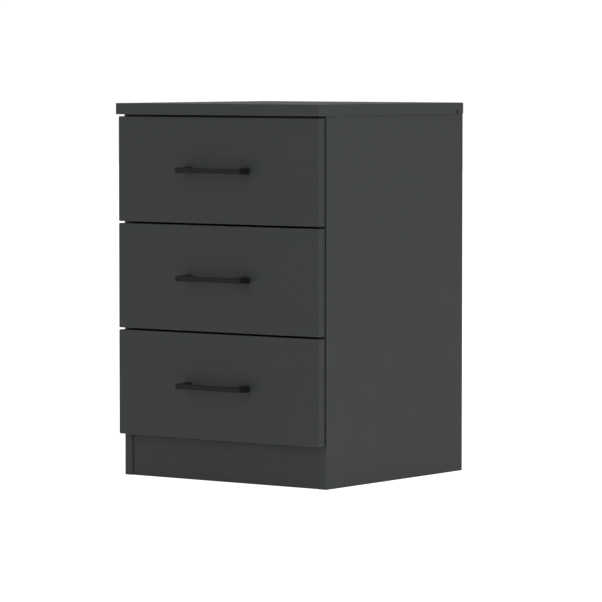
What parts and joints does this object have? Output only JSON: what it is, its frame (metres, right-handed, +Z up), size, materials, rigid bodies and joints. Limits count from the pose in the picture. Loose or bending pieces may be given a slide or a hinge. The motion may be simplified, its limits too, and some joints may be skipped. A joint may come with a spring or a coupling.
{
  "type": "nightstand",
  "caption": "Bedside nightstand: a plain panel cabinet on a recessed plinth, with stacked flat-front drawers that slide on roller runners and have bow handles.",
  "frame": {"origin": "on the floor, in the middle of the overall width and depth, handles included", "axes": "+Z up, -Y is the front that the drawers open towards, +X is right as seen from the front"},
  "size_m": [0.402, 0.4202, 0.597],
  "materials": {
    "graphite_board": "matt graphite lacquer foil on chipboard",
    "back_board": "painted hardboard",
    "drawer_board": "pale grey foil on board",
    "dowel_wood": "bare beech",
    "bright_zinc": "zinc plated",
    "runner_steel": "white epoxy coated",
    "roller_nylon": "natural nylon",
    "handle_black": "matt black powder coat",
    "pad_rubber": "soft clear polyurethane"
  },
  "bodies": {
    "carcass": {"top_panel": "graphite_board", "side_panel_left": "graphite_board", "side_panel_right": "graphite_board", "base_panel": "graphite_board", "plinth_panel": "graphite_board", "top_rail_front": "graphite_board", "top_rail_back": "graphite_board", "back_panel": "back_board", "carcass_dowels": "dowel_wood", "cam_locks": "bright_zinc", "cam_studs": "bright_zinc", "back_nails": "bright_zinc", "runner_screws": "bright_zinc", "bumper_pads": "pad_rubber", "cabinet_runner_left_1": "runner_steel", "cabinet_runner_right_1": "runner_steel", "cabinet_runner_left_2": "runner_steel", "cabinet_runner_right_2": "runner_steel", "cabinet_runner_left_3": "runner_steel", "cabinet_runner_right_3": "runner_steel"},
    "drawer_1": {"drawer_front_1": "graphite_board", "drawer_side_left_1": "drawer_board", "drawer_side_right_1": "drawer_board", "drawer_back_1": "drawer_board", "drawer_bottom_1": "drawer_board", "drawer_dowels_1": "dowel_wood", "drawer_runner_left_1": "runner_steel", "drawer_runner_right_1": "runner_steel", "drawer_runner_screws_1": "bright_zinc", "handle_1": "handle_black", "handle_screws_1": "bright_zinc"},
    "cabinet_rollers_1": {"cabinet_rollers_1": "roller_nylon"},
    "drawer_rollers_1": {"drawer_rollers_1": "roller_nylon"},
    "drawer_2": {"drawer_front_2": "graphite_board", "drawer_side_left_2": "drawer_board", "drawer_side_right_2": "drawer_board", "drawer_back_2": "drawer_board", "drawer_bottom_2": "drawer_board", "drawer_dowels_2": "dowel_wood", "drawer_runner_left_2": "runner_steel", "drawer_runner_right_2": "runner_steel", "drawer_runner_screws_2": "bright_zinc", "handle_2": "handle_black", "handle_screws_2": "bright_zinc"},
    "cabinet_rollers_2": {"cabinet_rollers_2": "roller_nylon"},
    "drawer_rollers_2": {"drawer_rollers_2": "roller_nylon"},
    "drawer_3": {"drawer_front_3": "graphite_board", "drawer_side_left_3": "drawer_board", "drawer_side_right_3": "drawer_board", "drawer_back_3": "drawer_board", "drawer_bottom_3": "drawer_board", "drawer_dowels_3": "dowel_wood", "drawer_runner_left_3": "runner_steel", "drawer_runner_right_3": "runner_steel", "drawer_runner_screws_3": "bright_zinc", "handle_3": "handle_black", "handle_screws_3": "bright_zinc"},
    "cabinet_rollers_3": {"cabinet_rollers_3": "roller_nylon"},
    "drawer_rollers_3": {"drawer_rollers_3": "roller_nylon"}
  },
  "joints": [
    {"name": "drawer_1_slide", "type": "slide", "parent": "carcass", "child": "drawer_1", "axis": [0, -1, 0], "range_m": [0, 0.2545]},
    {"name": "cabinet_rollers_1_spin", "type": "hinge", "parent": "carcass", "child": "cabinet_rollers_1", "pos_m": [0, -0.1489, 0.4325], "axis": [1, 0, 0], "continuous": true},
    {"name": "drawer_rollers_1_spin", "type": "hinge", "parent": "drawer_1", "child": "drawer_rollers_1", "pos_m": [0, 0.1716, 0.4325], "axis": [1, 0, 0], "continuous": true},
    {"name": "drawer_2_slide", "type": "slide", "parent": "carcass", "child": "drawer_2", "axis": [0, -1, 0], "range_m": [0, 0.2545]},
    {"name": "cabinet_rollers_2_spin", "type": "hinge", "parent": "carcass", "child": "cabinet_rollers_2", "pos_m": [0, -0.1489, 0.262], "axis": [1, 0, 0], "continuous": true},
    {"name": "drawer_rollers_2_spin", "type": "hinge", "parent": "drawer_2", "child": "drawer_rollers_2", "pos_m": [0, 0.1716, 0.262], "axis": [1, 0, 0], "continuous": true},
    {"name": "drawer_3_slide", "type": "slide", "parent": "carcass", "child": "drawer_3", "axis": [0, -1, 0], "range_m": [0, 0.2545]},
    {"name": "cabinet_rollers_3_spin", "type": "hinge", "parent": "carcass", "child": "cabinet_rollers_3", "pos_m": [0, -0.1489, 0.0915], "axis": [1, 0, 0], "continuous": true},
    {"name": "drawer_rollers_3_spin", "type": "hinge", "parent": "drawer_3", "child": "drawer_rollers_3", "pos_m": [0, 0.1716, 0.0915], "axis": [1, 0, 0], "continuous": true}
  ],
  "couplings": [
    {"joint": "cabinet_rollers_1_spin", "follows": "drawer_1_slide", "rad_per_m": 117.65},
    {"joint": "drawer_rollers_1_spin", "follows": "drawer_1_slide", "rad_per_m": 117.65},
    {"joint": "cabinet_rollers_2_spin", "follows": "drawer_2_slide", "rad_per_m": 117.65},
    {"joint": "drawer_rollers_2_spin", "follows": "drawer_2_slide", "rad_per_m": 117.65},
    {"joint": "cabinet_rollers_3_spin", "follows": "drawer_3_slide", "rad_per_m": 117.65},
    {"joint": "drawer_rollers_3_spin", "follows": "drawer_3_slide", "rad_per_m": 117.65}
  ]
}
